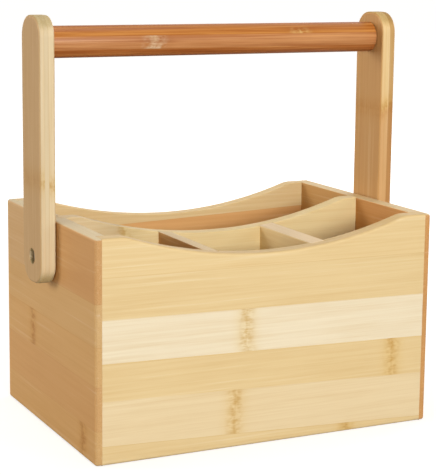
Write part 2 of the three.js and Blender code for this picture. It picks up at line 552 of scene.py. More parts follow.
@dataclass(frozen=True)
class Bamboo:
    """Satin lacquered bamboo, glued up from strips.

    Attributes:
        name: name of the material.
        grain: direction of the fibres.
        across: direction in which the strips follow one another.
        strips: the strips from the lowest up.
        taper: change of the strips' slope across the board, per metre.
        slope: slope of the strips at across = 0.
        streaks: strength of the long streaks.
        streak_tone: what a dark streak multiplies the colour by.
        pale_tone: colour that a pale streak tends to.
        dark_streak: noise above which a streak is dark, and how fast it darkens.
        pale_streak: noise below which it is pale, and how fast it grows paler.
        fibre_share: strength of the fibres in the colour.
        cloud_share: strength of the soft changes of tone.
        glue_tone: what a glue line multiplies the colour by.
        glue_reach: half the width of a glue line.
        glue_share: its strength.
        ring: the growth ring that crosses each strip.
        flank_tone: what the faces square to `across` multiply the colour by, on some pieces as painted sheen
            or shade.
        high_face_tone: what the one of them at the high end of `across` multiplies it by as well.
        far_face_tone: what the board's face at the high end of the third axis multiplies it by, on the front
            as painted shade.
        end_tone: what the faces square to `grain` multiply it by, on the arms partly as painted shade.
        pore_tone: what the dots on those faces multiply it by.
        pore_edge: distance from a dot's middle at which it begins and is full.
        pore_share: strength of the dots.
        change: places along the grain, counted from a ring, between which the tone changes.
        even_flanks: whether the faces square to `across` keep one tone beyond the rings.
        gloss: roughness of the lacquer.
        dulling: what a streak or the end grain adds to it.
        shine: how much of the light it mirrors.
        coat: weight of the clear coat, and its roughness.
        fibres: fineness of the fibres.
        bands: fineness of the streaks.
        clouds: fineness of the soft changes of tone.
        pores: dots in a metre on the faces square to `grain`.
        strip_shift: shift of a strip's grain, as a multiple of its ring's place.
        rise: heights of the fibres and streaks in the relief, and depth of the marks.
        relief: depth of the relief, and its strength.
    """

    name: str
    grain: Axis
    across: Axis
    strips: tuple[Strip, ...]
    taper: float = 0.0
    slope: float = 0.0
    streaks: float = 0.55
    streak_tone: Colour = (0.84, 0.73, 0.56)
    pale_tone: Colour = (0.92, 0.84, 0.66)
    dark_streak: tuple[float, float] = (0.42, 2.2)
    pale_streak: tuple[float, float] = (0.40, 2.5)
    fibre_share: float = 0.5
    cloud_share: float = 0.6
    glue_tone: Colour = (0.86, 0.76, 0.60)
    glue_reach: float = 0.35 * MM
    glue_share: float = 0.5
    ring: Ring = Ring()
    flank_tone: Colour = WHITE
    high_face_tone: Colour = WHITE
    far_face_tone: Colour = WHITE
    end_tone: Colour = (0.92, 0.90, 0.88)
    pore_tone: Colour = (0.80, 0.72, 0.62)
    pore_edge: tuple[float, float] = (0.45, 0.15)
    pore_share: float = 0.4
    change: tuple[float, float] = (-4.0 * MM, 2.0 * MM)
    even_flanks: bool = False
    gloss: float = 0.44
    dulling: float = 0.12
    shine: float = 0.22
    coat: tuple[float, float] = (0.04, 0.30)
    fibres: Fineness = (30.0, 1500.0)
    bands: Fineness = (8.0, 420.0)
    clouds: Fineness = (14.0, 60.0)
    pores: float = 1100.0
    strip_shift: float = 7.0
    rise: tuple[float, float, float] = (0.5, 0.6, 0.8)
    relief: tuple[float, float] = (0.12 * MM, 0.35)

    def material(self) -> bpy.types.Material:
        """Build the material.

        Returns:
            The material.
        """
        made, graph = new_material(self.name)
        place, facing = graph.place(), graph.facing()
        deep = 3 - self.grain.value - self.across.value
        wood = Wood(graph, place[self.grain.value], place[self.across.value], place[deep])
        flank = abs(facing[self.across.value]).ramped(*SQUARE)
        end = abs(facing[self.grain.value]).ramped(*END_SQUARE)
        tone, ring = self._strips(wood, flank)
        shifted = wood.moved(ring * self.strip_shift)
        fibre = shifted.noise(self.fibres)
        streak = shifted.noise(self.bands, detail=3.0, roughness=0.6)
        cloud = shifted.noise(self.clouds)
        dark_from, dark_gain = self.dark_streak
        pale_from, pale_gain = self.pale_streak
        shade = ((streak - dark_from) * dark_gain * self.streaks + (fibre - MEAN) * self.fibre_share
                 + (cloud - MEAN) * self.cloud_share)
        colour = graph.tint(shade, tone, self.streak_tone)
        colour = graph.mix((pale_from - streak) * pale_gain * self.streaks, colour, self.pale_tone)
        colour, mark = self.ring.drawn(wood.moved(ring * -1.0), colour, flank)
        colour = self._end_grain(wood, colour, end)
        colour = graph.tint(flank, colour, self.flank_tone)
        for axis, face_tone in ((self.across.value, self.high_face_tone), (deep, self.far_face_tone)):
            if face_tone != WHITE:
                colour = graph.tint(facing[axis].ramped(*SQUARE), colour, face_tone)
        fibre_rise, streak_rise, mark_fall = self.rise
        relief = fibre * fibre_rise + streak * streak_rise - mark * mark_fall - end * fibre
        coat, coat_roughness = self.coat
        graph.surface({
            "Base Color": colour,
            "Roughness": self.gloss + streak * self.dulling + end * self.dulling,
            "Specular IOR Level": self.shine,
            "Coat Weight": coat,
            "Coat Roughness": coat_roughness,
            "Normal": graph.bump(relief, *self.relief),
        })
        return made

    def _strips(self, wood: Wood, flank: Value) -> tuple[bpy.types.NodeSocket, Value]:
        """Find the strip at a point.

        Args:
            wood: the point.
            flank: how much of the surface faces across the strips.

        Returns:
            The strip's tone, and the place of its growth ring along the grain.
        """
        graph = wood.graph
        level = wood.across + wood.along * (self.slope - self.taper * wood.across)
        low = self.strips[0].low
        # The ramp goes on past the last strip's edge, and its colours hold the rings' places plus a half.
        past, lift = 1.25, 0.5
        span = max(self.strips[-1].low - low, MM) * past
        fraction = (level - low) / span
        places = [(strip.low - low) / span for strip in self.strips]

        def steps(colours: Iterable[Colour]) -> bpy.types.NodeSocket:
            """Choose the strip's own of some colours."""
            return graph.steps(fraction, list(zip(places, colours)))

        rings = steps((strip.ring + lift,) * 3 for strip in self.strips)
        ring = graph.value(graph.node("ShaderNodeRGBToBW", inputs={"Color": rings})) - lift
        tone = steps(strip.colour for strip in self.strips)
        if any(strip.beyond for strip in self.strips):
            beyond = (wood.along - ring).ramped(*self.change)
            if self.even_flanks:
                beyond = beyond * (1.0 - flank)
            tone = graph.mix(beyond, tone, steps(strip.beyond or strip.colour for strip in self.strips))
        glue = sum(((level - strip.low).within(self.glue_reach) for strip in self.strips[1:]), start=0.0)
        return graph.tint(glue * self.glue_share, tone, self.glue_tone), ring

    def _end_grain(self, wood: Wood, colour: bpy.types.NodeSocket, end: Value) -> bpy.types.NodeSocket:
        """Darken and dot the ends of the fibres.

        Args:
            wood: the point.
            colour: colour along the fibres.
            end: how much of the surface faces along the grain.

        Returns:
            The colour.
        """
        graph = wood.graph
        places = {"X": wood.across * self.pores, "Y": wood.deep * self.pores}
        vector = graph.node("ShaderNodeCombineXYZ", inputs=places)
        dots = graph.node("ShaderNodeTexVoronoi", {"voronoi_dimensions": "2D"},
                          {"Vector": vector.outputs[0], "Scale": 1.0})
        dot = graph.value(dots, "Distance").ramped(*self.pore_edge)
        colour = graph.tint(end, colour, self.end_tone)
        return graph.tint(end * dot * self.pore_share, colour, self.pore_tone)


@dataclass(frozen=True)
class Steel:
    """Dull zinc-plated steel of the screws.

    Attributes:
        name: name of the material.
        colour: colour of the plating.
        cloud_colour: colour of its darker clouds.
        clouds: clouds in a metre.
        cloud_share: how far the clouds take the colour.
        polish: roughness of the plating.
        dulling: what a cloud adds to it.
        relief: depth of the clouds, and its strength.
    """

    name: str = "zinc_steel"
    colour: Colour = GREY_STEEL
    cloud_colour: Colour = DARK_STEEL
    clouds: float = 900.0
    cloud_share: float = 0.5
    polish: float = 0.30
    dulling: float = 0.2
    relief: tuple[float, float] = (0.03 * MM, 0.3)

    def material(self) -> bpy.types.Material:
        """Build the material.

        Returns:
            The material.
        """
        made, graph = new_material(self.name)
        cloud = graph.noise([part * self.clouds for part in graph.place()], detail=3.0)
        graph.surface({
            "Base Color": graph.mix(cloud * self.cloud_share, self.colour, self.cloud_colour),
            "Metallic": 1.0,
            "Roughness": self.polish + cloud * self.dulling,
            "Normal": graph.bump(cloud, *self.relief),
        })
        return made


class Workpiece:
    """A piece on the bench: its mesh, and the tools that shape it."""

    def __init__(self, name: str) -> None:
        """Start with nothing on the bench."""
        self.name = name
        self.mesh = bmesh.new()

    def everything(self) -> list:
        """All of the mesh, as the operators take it."""
        return [*self.mesh.verts, *self.mesh.edges, *self.mesh.faces]

    def rectangle(self, along: Axis, up: Axis, low: Vector, high: Vector) -> None:
        """Start from a flat rectangle.

        Args:
            along: direction of one pair of sides.
            up: direction of the other pair.
            low: corner with the lowest coordinates; it also gives the plane.
            high: opposite corner.
        """
        across = low.copy()
        across[along.value] = high[along.value]
        far = across.copy()
        far[up.value] = high[up.value]
        over = low.copy()
        over[up.value] = high[up.value]
        corners = [self.mesh.verts.new(corner) for corner in (low, across, far, over)]
        self.mesh.faces.new(corners)

    def score(self, axis: Axis, places: Iterable[float]) -> None:
        """Draw lines over the mesh, so that faces end there.

        Args:
            axis: direction that the lines are square to.
            places: where they lie on it.
        """
        for place in places:
            bmesh.ops.bisect_plane(self.mesh, geom=self.everything(), dist=TOUCH,
                                   plane_co=axis.vector * place, plane_no=axis.vector)

    def trim(self, axis: Axis, low: float, high: float) -> None:
        """Saw both ends off the mesh.

        Args:
            axis: direction of the sawn-off ends.
            low: place on it below which nothing is left.
            high: place above which nothing is left.
        """
        for place, direction in ((low, -1), (high, 1)):
            bmesh.ops.bisect_plane(self.mesh, geom=self.everything(), dist=TOUCH,
                                   plane_co=axis.vector * place, plane_no=axis.vector * direction,
                                   clear_outer=True)

    def thicken(self, axis: Axis, levels: Sequence[tuple[float, Callable[[Vector], bool]]]) -> None:
        """Raise a flat sheet to a board in steps, so that rabbets, grooves and housings stay open.

        Args:
            axis: direction of the thickness.
            levels: place of each step on the axis, and which faces rise to it, by their middles.
        """
        top = list(self.mesh.faces)
        for number, (place, rises) in enumerate(levels):
            rising = [face for face in top if rises(face.calc_center_median())]
            made = bmesh.ops.extrude_face_region(self.mesh, geom=rising)["geom"]
            for item in made:
                if isinstance(item, bmesh.types.BMVert):
                    item.co[axis.value] = place
            if number:
                bmesh.ops.delete(self.mesh, geom=rising, context="FACES")
            top = [item for item in made if isinstance(item, bmesh.types.BMFace)]
        self.face_outwards()

    def face_outwards(self) -> None:
        """Merge doubles and turn every face outwards."""
        bmesh.ops.remove_doubles(self.mesh, verts=self.mesh.verts, dist=TOUCH)
        bmesh.ops.recalc_face_normals(self.mesh, faces=self.mesh.faces)

    def lathe(self, profile: Sequence[tuple[float, float]], height: float, sides: int,
              end: Side = Side.RIGHT) -> None:
        """Turn a profile about an axis along X.

        Args:
            profile: radius of each point, and its distance from the middle towards the end.
            height: height of the axis.
            sides: number of facets round.
            end: end of the holder that the profile is for.
        """
        centre = Vector((0.0, 0.0, height))
        points = [(end.value * place, 0.0, centre.z + radius) for radius, place in profile]
        chain = [self.mesh.verts.new(point) for point in points]
        edges = [self.mesh.edges.new(pair) for pair in zip(chain, chain[1:])]
        bmesh.ops.spin(self.mesh, geom=[*chain, *edges], cent=centre, axis=Axis.X.vector,
                       angle=math.tau, steps=sides, use_merge=True)
        self.face_outwards()

    def round_off(self, radius: float, chosen: Callable[[bmesh.types.BMEdge], bool], segments: int) -> None:
        """Round some edges for good.

        Args:
            radius: radius of the rounding.
            chosen: tells whether an edge is rounded.
            segments: number of facets in the rounding.
        """
        edges = [edge for edge in self.mesh.edges if chosen(edge)]
        bmesh.ops.bevel(self.mesh, geom=edges, offset=radius, offset_type="OFFSET", affect="EDGES",
                        segments=segments, profile=0.5, material=-1)

    def object(self, radius_at: Callable[[Vector], float] | None = None, largest: float = 2 * MM,
               segments: int = 4) -> bpy.types.Object:
        """Take the piece off the bench, with its sharp edges eased.

        Args:
            radius_at: radius of the rounding of an edge, by the edge's middle.
            largest: the largest of these radii.
            segments: number of facets in a rounding.

        Returns:
            The finished object, at the origin.
        """
        weights = self.mesh.edges.layers.float.new("bevel_weight_edge")
        for face in self.mesh.faces:
            face.smooth = True
        for edge in self.mesh.edges:
            if len(edge.link_faces) < 2 or abs(edge.calc_face_angle_signed()) < SHARP:
                continue
            if radius_at and edge.calc_face_angle_signed() > 0:
                middle = (edge.verts[0].co + edge.verts[1].co) / 2
                edge[weights] = radius_at(middle) / largest
            else:
                edge.smooth = False
        data = bpy.data.meshes.new(self.name)
        self.mesh.to_mesh(data)
        self.mesh.free()
        made = bpy.data.objects.new(self.name, data)
        bpy.context.scene.collection.objects.link(made)
        if radius_at:
            bevel = made.modifiers.new("eased edges", "BEVEL")
            bevel.width = largest
            bevel.segments = segments
            bevel.profile = 0.5
            bevel.limit_method = "WEIGHT"
            bevel.use_clamp_overlap = False
            bevel.material = -1
            bevel.harden_normals = True
        return made


def eased(radius: float, place: float, ease: float) -> list[tuple[float, float]]:
    """Profile of a turned corner that is rounded off.

    Args:
        radius: radius of the form.
        place: place of its end face.
        ease: radius of the rounding.

    Returns:
        Radius and place of its three points.
    """
    cut = 0.3 * ease
    return [(radius, place - ease), (radius - cut, place - cut), (radius - ease, place)]


def applied(piece: bpy.types.Object) -> None:
    """Make a piece's modifiers part of its mesh.

    Args:
        piece: the object.
    """
    ready = piece.evaluated_get(bpy.context.evaluated_depsgraph_get())
    rough = piece.data
    piece.data = bpy.data.meshes.new_from_object(ready)
    piece.data.name = rough.name
    piece.modifiers.clear()
    bpy.data.meshes.remove(rough)


def drilled(piece: bpy.types.Object, drills: Iterable[bpy.types.Object]) -> None:
    """Cut holes with solid drills, which are thrown away afterwards.

    Args:
        piece: the object to drill.
        drills: objects in the shape of the holes.
    """
    drills = list(drills)
    for drill in drills:
        cut = piece.modifiers.new("hole", "BOOLEAN")
        cut.operation = "DIFFERENCE"
        cut.solver = "EXACT"
        cut.object = drill
    applied(piece)
    for drill in drills:
        bpy.data.objects.remove(drill)
    piece.data.set_sharp_from_angle(angle=SHARP)
    even = piece.modifiers.new("even shading", "WEIGHTED_NORMAL")
    even.keep_sharp = True


def dress(piece: bpy.types.Object, node: str, body: Body, material: bpy.types.Material) -> None:
    """Give a finished piece its material and its place in the model.

    Args:
        piece: the finished object.
        node: the solid that it stands for.
        body: the body that it moves with.
        material: its material.
    """
    piece.data.materials.clear()
    piece.data.materials.append(material)
    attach(piece, body.value)
    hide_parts(node)
    log.info("%s stands for %s, %d faces", piece.name, node, len(piece.data.polygons))


@dataclass
class Rim:
    """The dipped rim that the front, the back and the dividers share.

    Attributes:
        half_width: from the middle to the end of the rim.
        top: height of the flat ends.
        flat: length of the flat ends.
        shoulder: radius of the round shoulders.
        dip: depth of the dip at its middle.
        dip_steps: facets along the dip.
        shoulder_steps: facets of a shoulder.
    """

    half_width: float
    top: float
    flat: float = 17 * MM
    shoulder: float = 25 * MM
    dip: float = 17.5 * MM
    dip_steps: int = 64
    shoulder_steps: int = 8

    def sheet(self, name: str, reach: tuple[float, float], bottom: float, place: float) -> Workpiece:
        """Flat upright sheet with the dipped rim.

        Args:
            name: name of the piece.
            reach: its left and right ends.
            bottom: height of its lower edge.
            place: its place on Y.

        Returns:
            The sheet on the bench.
        """
        piece = Workpiece(name)
        run = self.half_width - self.flat
        both = (run * run + self.dip * self.dip) / (2 * self.dip)
        turn = math.asin(run / both)
        middle = self.top - self.dip + both - self.shoulder
        right = piece.mesh.verts.new((self.half_width, place, self.top))
        last = piece.mesh.verts.new((run, place, self.top))
        piece.mesh.edges.new((right, last))
        for centre, height, angle, steps in (
            (run, self.top - self.shoulder, -turn, self.shoulder_steps),
            (0.0, middle, 2 * turn, self.dip_steps),
            (-run, self.top - self.shoulder, -turn, self.shoulder_steps),
        ):
            spun = bmesh.ops.spin(piece.mesh, geom=[last], cent=Vector((centre, place, height)),
                                  axis=Axis.Y.vector, angle=angle, steps=steps)
            last = next(item for item in spun["geom_last"] if isinstance(item, bmesh.types.BMVert))
        left = piece.mesh.verts.new((-self.half_width, place, self.top))
        piece.mesh.edges.new((last, left))
        lower = bmesh.ops.extrude_edge_only(piece.mesh, edges=piece.mesh.edges[:])["geom"]
        for item in lower:
            if isinstance(item, bmesh.types.BMVert):
                item.co.z = bottom
        piece.trim(Axis.X, *reach)
        return piece


def always(_: Vector) -> bool:
    """Every face rises."""
    return True


@dataclass
class Box:
    """The box: panels, base and dividers.

    Attributes:
        half_width: from the middle to the outer face of an end panel.
        half_depth: from the middle to the outer face of the front panel.
        height: from the table to the flat ends of the rim.
        wall: thickness of the four walls.
        lip: width of an end panel's edge that shows at the front.
        groove: how deep the boards are let into each other.
        divider: thickness of the long divider.
        base: heights of the base's two faces.
        outer_radius: rounding of the outer edges.
        inner_radius: rounding of the inner edges of the rim.
        joint_radius: rounding where boards meet.
    """

    half_width: float
    half_depth: float
    height: float
    wall: float
    lip: float
    groove: float
    divider: float
    base: tuple[float, float]
    outer_radius: float = 2 * MM
    inner_radius: float = 0.7 * MM
    joint_radius: float = 0.15 * MM

    @classmethod
    def measured(cls) -> "Box":
        """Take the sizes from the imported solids.

        Returns:
            The box.
        """
        low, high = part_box("front_panel")
        end_low, end_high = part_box("left_end_panel")
        divider_low, divider_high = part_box("long_divider")
        base_low, base_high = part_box("base_panel")
        half_width = -end_low.x
        wall = end_high.x - end_low.x
        return cls(half_width=half_width, half_depth=-low.y, height=high.z, wall=wall,
                   lip=half_width - high.x, groove=divider_high.x - (half_width - wall),
                   divider=divider_high.y - divider_low.y, base=(base_low.z, base_high.z))

    @property
    def inner_half_width(self) -> float:
        """From the middle to the inner face of an end panel."""
        return self.half_width - self.wall

    @property
    def inner_half_depth(self) -> float:
        """From the middle to the inner face of the front panel."""
        return self.half_depth - self.wall

    @property
    def rim(self) -> Rim:
        """The rim's shape."""
        return Rim(self.half_width, self.height)

    def crossings(self) -> list[tuple[float, float]]:
        """Left and right faces of the two cross dividers."""
        boxes = [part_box(f"{side.word}_cross_divider") for side in Side]
        return [(low.x, high.x) for low, high in boxes]

    def in_crossing(self, place: Vector) -> bool:
        """Whether a place lies above the base and in line with a cross divider."""
        return place.z > self.base[1] and any(left < place.x < right for left, right in self.crossings())

    def in_groove(self, place: Vector) -> bool:
        """Whether a place lies at the height of the base's groove."""
        return self.base[0] < place.z < self.base[1]

    def long_panel(self, wall: Wall) -> bpy.types.Object:
        """Build the front or back panel, with its grooves.

        Args:
            wall: which of the two.

        Returns:
            The panel.
        """
        facing = wall.value
        reach = self.half_width - self.lip
        piece = self.rim.sheet(f"{wall.word}_board", (-reach, reach), 0.0, facing * self.half_depth)
        piece.score(Axis.Z, self.base)
        housed = wall is Wall.FRONT
        if housed:
            piece.score(Axis.X, [face for pair in self.crossings() for face in pair])
        groove_floor = facing * (self.inner_half_depth + self.groove)
        inside = facing * self.inner_half_depth

        def full(place: Vector) -> bool:
            """Whether the board has its full thickness here."""
            return not (self.in_groove(place) or (housed and self.in_crossing(place)))

        piece.thicken(Axis.Y, [(groove_floor, always), (inside, full)])

        def radius(place: Vector) -> float:
            """Choose the rounding of an edge.

            Args:
                place: the edge's middle.

            Returns:
                The radius.
            """
            if abs(place.x) > reach - TOUCH:
                return self.joint_radius
            return self.outer_radius if abs(place.y) > self.half_depth - TOUCH else self.top_radius(place)

        return piece.object(radius, self.outer_radius)

    def end_panel(self, side: Side) -> bpy.types.Object:
        """Build an end panel, with its rabbets, groove and housing.

        Args:
            side: which end it stands at.

        Returns:
            The panel.
        """
        piece = Workpiece(f"{side.word}_end_board")
        outer = side.value * self.half_width
        low = Vector((outer, -self.half_depth, 0.0))
        high = Vector((outer, self.half_depth, self.height))
        piece.rectangle(Axis.Y, Axis.Z, low, high)
        rabbet, housing = self.inner_half_depth, self.divider / 2
        piece.score(Axis.Y, (-rabbet, -housing, housing, rabbet))
        piece.score(Axis.Z, self.base)

        def between(place: Vector) -> bool:
            """Whether a place lies between the rabbets."""
            return abs(place.y) < rabbet

        def full(place: Vector) -> bool:
            """Whether the board has its full thickness here."""
            housed = abs(place.y) < housing and place.z > self.base[1]
            return not (self.in_groove(place) or housed)

        piece.thicken(Axis.X, [
            (side.value * (self.half_width - self.lip), always),
            (side.value * (self.inner_half_width + self.groove), between),
            (side.value * self.inner_half_width, full),
        ])

        def radius(place: Vector) -> float:
            """Choose the rounding of an edge.

            Args:
                place: the edge's middle.

            Returns:
                The radius.
            """
            on_top = place.z > self.height - TOUCH
            outside = abs(place.y) > self.half_depth - TOUCH and (on_top or place.z < TOUCH)
            if outside or abs(place.x) > self.half_width - TOUCH:
                return self.outer_radius
            inside = abs(place.x) < self.inner_half_width + TOUCH
            return self.inner_radius if inside and on_top else self.joint_radius

        return piece.object(radius, self.outer_radius)

    def base_panel(self) -> bpy.types.Object:
        """Build the thin base, its edges in the grooves.

        Returns:
            The base.
        """
        low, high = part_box("base_panel")
        piece = Workpiece("base_board")
        piece.rectangle(Axis.X, Axis.Y, low, high)
        piece.thicken(Axis.Z, [(high.z, always)])
        return piece.object(lambda _: self.joint_radius, self.joint_radius, segments=2)

    def top_radius(self, place: Vector) -> float:
        """Rounding of an edge by its height: the rim's, or that of a joint below it."""
        return self.inner_radius if place.z > self.height / 2 else self.joint_radius

    def long_divider(self) -> bpy.types.Object:
        """Build the divider along the middle, with housings for the cross dividers.

        Returns:
            The divider.
        """
        low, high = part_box("long_divider")
        piece = self.rim.sheet("long_divider_board", (low.x, high.x), low.z, high.y)
        piece.score(Axis.X, [face for pair in self.crossings() for face in pair])
        piece.thicken(Axis.Y, [
            (low.y + self.groove, always),
            (low.y, lambda place: not self.in_crossing(place)),
        ])
        return piece.object(self.top_radius, self.inner_radius, segments=3)

    def cross_divider(self, side: Side) -> bpy.types.Object:
        """Build a short divider between the front panel and the long divider.

        Args:
            side: on which side of the middle it stands.

        Returns:
            The divider.
        """
        low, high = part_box(f"{side.word}_cross_divider")
        piece = self.rim.sheet(f"{side.word}_cross_divider_board", (low.x, high.x), low.z, low.y)
        piece.thicken(Axis.Y, [(high.y, always)])
        return piece.object(self.top_radius, self.inner_radius, segments=3)

    def build(self) -> None:
        """Make and dress every board of the box."""
        self.dress_long_boards()
        self.dress_ends()
        self.dress_cross_dividers()
        reach = 100 * MM
        strips = laminated(seed=21, low=-reach, high=reach, width=26 * MM, reach=self.half_width,
                           tones=(HONEY, AMBER, PALE_HONEY))
        base = Bamboo("base_bamboo", Axis.X, Axis.Y, strips)
        dress(self.base_panel(), "base_panel", Body.BOX, base.material())

    def dress_long_boards(self) -> None:
        """Make and dress the front, the back and the long divider."""
        # Painted shade: flank_tone darkens the rim's top faces against the top light, and far_face_tone
        # makes the inner face browner so that the shade in the compartments comes out warmer.
        front = Bamboo("front_bamboo", Axis.X, Axis.Z, glued(
            (-20, HONEY, 60),
            (8.2, PALE_HONEY, -26),
            (38.5, HONEY, 95.5),
            (64.0, CREAM, -17.5),
            (93.4, HONEY, -210),
            (122.0, scaled(HONEY, 1.02), 230),
        ), taper=0.27, slope=0.040, flank_tone=(0.90, 0.88, 0.85), far_face_tone=(0.84, 0.66, 0.50))
        dress(self.long_panel(Wall.FRONT), "front_panel", Body.BOX, front.material())
        back = Bamboo("back_bamboo", Axis.X, Axis.Z, glued(
            (-20, BUFF, 70),
            (34, AMBER, -52),
            (61, scaled(BUFF, 0.97), 15),
            (93, ORANGE, -100),
            (126, WARM_HONEY, 140),
        ), taper=0.1, slope=-0.02)
        dress(self.long_panel(Wall.BACK), "back_panel", Body.BOX, back.material())
        # Partly painted: left of its ring the top strip is duller, with a wide greyish halo round the ring,
        # partly its own tone and partly painted shade near the left arm; beyond the ring it is brighter,
        # partly painted light.
        divider = Bamboo("divider_bamboo", Axis.X, Axis.Z, glued(
            (-20, HONEY, 40),
            (22, PALE_HONEY, -70),
            (50, HONEY, 30),
            (79, AMBER, 90),
            (107, DULL_HONEY, -72, GOLDEN),
        ), ring=Ring(halo_tone=(0.82, 0.80, 0.75), halo=2.9))
        dress(self.long_divider(), "long_divider", Body.BOX, divider.material())

    def dress_ends(self) -> None:
        """Make and dress the end panels."""
        ring = Ring(tone=(0.74, 0.62, 0.46), reach=9 * MM)
        # Painted shade: in front of this edge the top strip is darker on the left end, for the left arm's
        # shadow, and redder on the right end, for the warm shade of the front compartment.
        painted_shade_edge = 2
        deep_russet = scaled(RUSSET, 1.03)
        for side, light, dark, upper, top, top_beyond in (
            (Side.LEFT, TAN, ROSY, PALE_TAN, DEEP_ROSY, PALE_ROSY),
            (Side.RIGHT, RUSSET, deep_russet, RUSSET, deep_russet, NUT_BROWN),
        ):
            # Painted sheen: flank_tone turns the top faces pale and whitish. The right end's redder tones
            # are partly its own and partly painted shade of its inner face.
            finish = Bamboo(f"{side.word}_end_bamboo", Axis.Y, Axis.Z, glued(
                (-20, light, -64),
                (23, dark, -160),
                (52, light, 32),
                (78, upper, NO_RING),
                (106, top, painted_shade_edge, top_beyond),
            ), streaks=0.4, ring=ring, flank_tone=(1.12, 1.80, 3.40), end_tone=(0.96, 1.05, 1.26),
                even_flanks=True)
            dress(self.end_panel(side), f"{side.word}_end_panel", Body.BOX,
                  finish.material())

    def dress_cross_dividers(self) -> None:
        """Make and dress the cross dividers."""
        # Lit and shaded copies: the left divider's top strip is darkened to stand for the left arm's shadow
        # on its face, and the right one's is brightened to stand for light; flank_tone gives both top faces
        # a paler, whitish cast as painted sheen.
        for side, top, flank_tone in (
            (Side.LEFT, scaled(ROSY, 0.94), (1.21, 1.75, 2.9)),
            (Side.RIGHT, SUNNY, (0.93, 0.97, 1.25)),
        ):
            finish = Bamboo(f"{side.word}_cross_bamboo", Axis.Y, Axis.Z, glued(
                (-20, AMBER, -20),
                (30, HONEY, -55),
                (58, AMBER, -30),
                (88, top, -200),
            ), flank_tone=flank_tone)
            dress(self.cross_divider(side), f"{side.word}_cross_divider", Body.BOX,
                  finish.material())


@dataclass(frozen=True)
class Plies:
    """The three plies of an arm, as their edges and faces show them.

    Attributes:
        tones: tone of each ply, from the lowest X up.
        rings: height of each ply's growth ring, in millimetres.
        face_tone: what the arm's broad faces multiply the colour by.
        right_face_tone: what the right one of them multiplies it by as well.
        upper_tone: what its narrow faces multiply it by above the rings.
    """

    tones: tuple[Colour, Colour, Colour]
    rings: tuple[float, float, float]
    face_tone: Colour
    right_face_tone: Colour = WHITE
    upper_tone: Colour = WHITE


PLIES = {
    # Partly painted shade: the left arm's broad faces are darker and browner than its edges, partly the
    # plies' own faces and partly shade on the arm's side.
    Side.LEFT: Plies(
        tones=(scaled(EDGE_PALE, 0.98), scaled(EDGE_PALE, 0.93), EDGE_PALE),
        rings=(175, NO_RING, 172),
        face_tone=(0.76, 0.59, 0.42),
    ),
    Side.RIGHT: Plies(
        tones=(MID_TAN, scaled(MID_TAN, 0.97), DEEP_TAN),
        rings=(214, 216, 218),
        face_tone=(0.86, 0.80, 0.67),
        right_face_tone=(1.35, 1.48, 1.72),
        upper_tone=(1.17, 1.40, 1.58),
    ),
}


